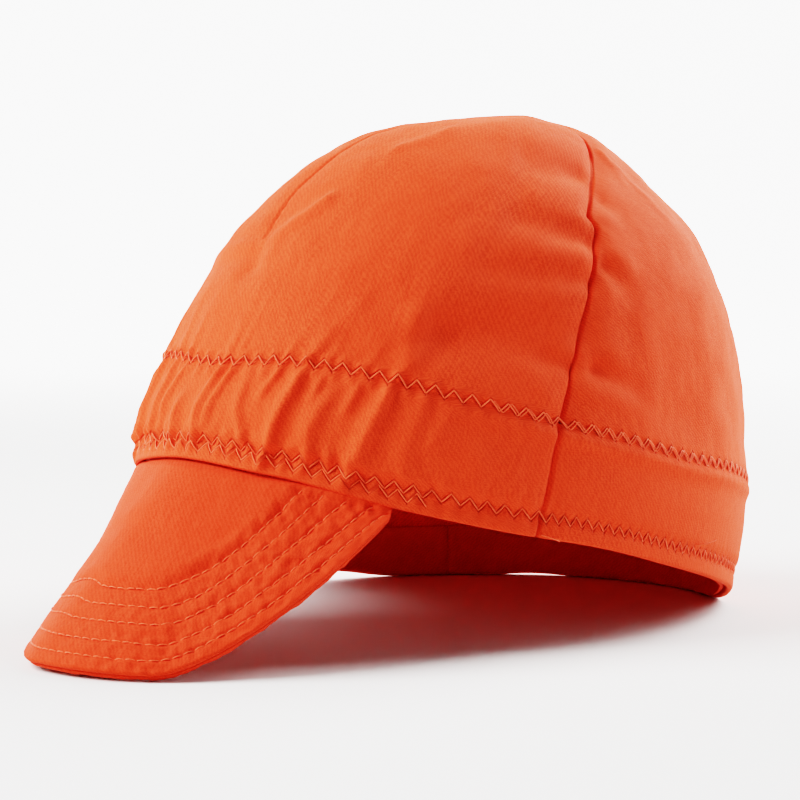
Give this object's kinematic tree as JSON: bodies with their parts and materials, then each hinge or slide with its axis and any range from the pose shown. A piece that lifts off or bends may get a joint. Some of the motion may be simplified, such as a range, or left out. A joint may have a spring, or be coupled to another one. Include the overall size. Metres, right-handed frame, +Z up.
{
  "type": "welding cap",
  "caption": "Soft sewn cotton welding cap: domed crown, gathered band and short stitched bill, open below for the head.",
  "frame": {"origin": "centre of the cap's box, on the surface it rests on", "axes": "+Z up, -Y towards the front of the cap, +X towards the wearer's left"},
  "size_m": [0.1752, 0.2724, 0.163],
  "materials": {
    "crown_cloth": "orange cotton twill",
    "facing_cloth": "orange cotton twill, inner face",
    "bill_cloth": "orange cotton twill, stitched in rows"
  },
  "bodies": {
    "root": {"crown_front": "crown_cloth", "crown_back": "crown_cloth", "hem_facing": "facing_cloth", "bill_top": "bill_cloth", "bill_under": "bill_cloth"}
  },
  "joints": []
}
